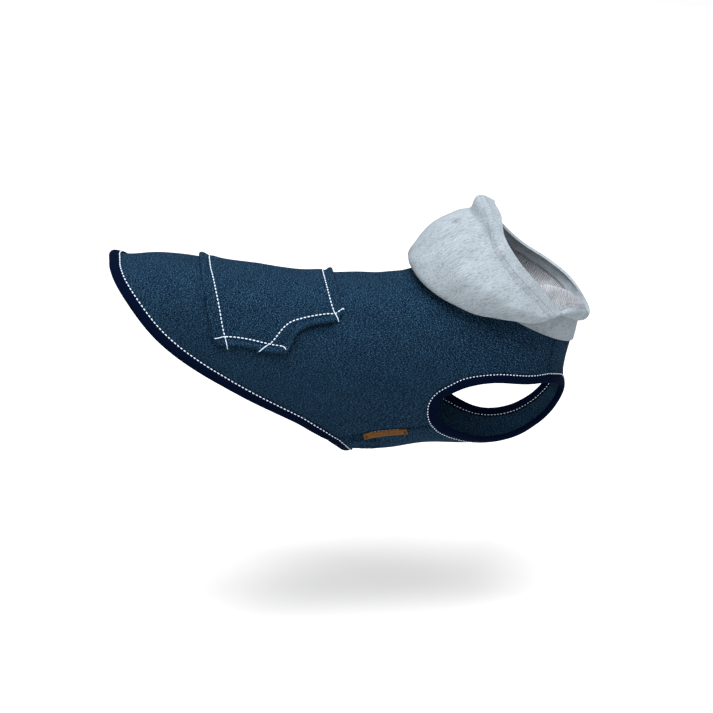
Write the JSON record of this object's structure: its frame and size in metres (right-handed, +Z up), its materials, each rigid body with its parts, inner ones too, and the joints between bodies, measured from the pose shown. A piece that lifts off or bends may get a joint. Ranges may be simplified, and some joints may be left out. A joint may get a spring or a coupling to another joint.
{
  "type": "dog hoodie",
  "caption": "Sleeveless knitted dog hoodie in its worn form, with a draped hood, back pocket, foreleg holes and a bound slanted rear hem.",
  "frame": {"origin": "inside of the back cloth at the nape seam, on the middle line, where the coat rests on the withers", "axes": "+X towards the head, +Y to the wearer's left, +Z up"},
  "size_m": [0.429, 0.1456, 0.2324],
  "materials": {
    "body_knit": "blue marl knit, matt",
    "navy_rib": "dark navy rib binding, matt",
    "grey_jersey": "pale grey marl jersey, matt",
    "brown_tag": "brown leathercloth, matt"
  },
  "bodies": {
    "root": {"body_panel": "body_knit", "belly_panel": "body_knit", "hem_binding": "navy_rib", "armhole_binding_right": "navy_rib", "armhole_binding_left": "navy_rib", "back_pocket": "body_knit", "hood": "grey_jersey", "side_label": "brown_tag"}
  },
  "joints": []
}
